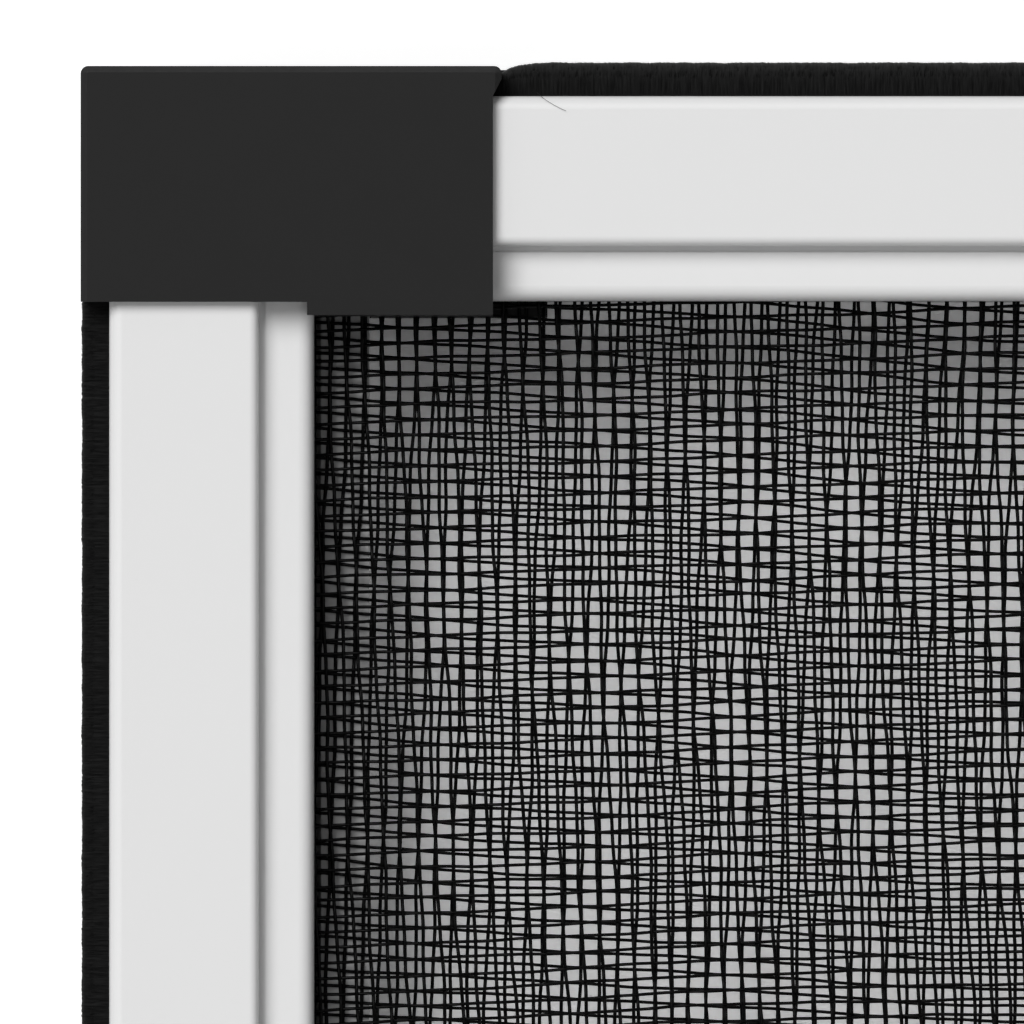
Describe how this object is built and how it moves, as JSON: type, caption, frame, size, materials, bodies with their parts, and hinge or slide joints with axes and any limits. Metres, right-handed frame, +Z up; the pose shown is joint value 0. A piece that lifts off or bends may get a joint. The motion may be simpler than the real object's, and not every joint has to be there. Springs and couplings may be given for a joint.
{
  "type": "extending window insect screen",
  "caption": "Slim extending insect screen for a window: two white sliding frames back to back, with black corner caps, brush edges and black mesh.",
  "frame": {"origin": "middle of the closed screen's foot, where its bottom brushes rest, midway between the two frames", "axes": "+X along the width towards the frame that slides out, +Y from the front frame to the back frame, +Z up"},
  "size_m": [0.75, 0.0224, 0.5008],
  "materials": {
    "frame": "smooth white powder coat on extruded aluminium",
    "cap": "black moulded plastic, fine satin grain",
    "mesh": "plain weave of coated black thread",
    "cord": "black extruded cord",
    "pile": "dense black brush pile"
  },
  "bodies": {
    "front_half": {"front_top_rail": "frame", "front_bottom_rail": "frame", "front_outer_stile": "frame", "front_inner_stile": "frame", "front_outer_top_cap": "cap", "front_outer_bottom_cap": "cap", "front_inner_top_cap": "cap", "front_inner_bottom_cap": "cap", "front_mesh": "mesh", "front_top_spline": "cord", "front_bottom_spline": "cord", "front_outer_spline": "cord", "front_inner_spline": "cord", "front_top_brush": "pile", "front_bottom_brush": "pile", "front_outer_brush": "pile", "front_meeting_brush": "pile"},
    "back_half": {"back_top_rail": "frame", "back_bottom_rail": "frame", "back_outer_stile": "frame", "back_inner_stile": "frame", "back_outer_top_cap": "cap", "back_outer_bottom_cap": "cap", "back_inner_top_cap": "cap", "back_inner_bottom_cap": "cap", "back_mesh": "mesh", "back_top_spline": "cord", "back_bottom_spline": "cord", "back_outer_spline": "cord", "back_inner_spline": "cord", "back_top_brush": "pile", "back_bottom_brush": "pile", "back_outer_brush": "pile", "back_meeting_brush": "pile"}
  },
  "joints": [
    {"name": "draw_out", "type": "slide", "parent": "front_half", "child": "back_half", "axis": [1, 0, 0], "range_m": [0, 0.67]}
  ]
}
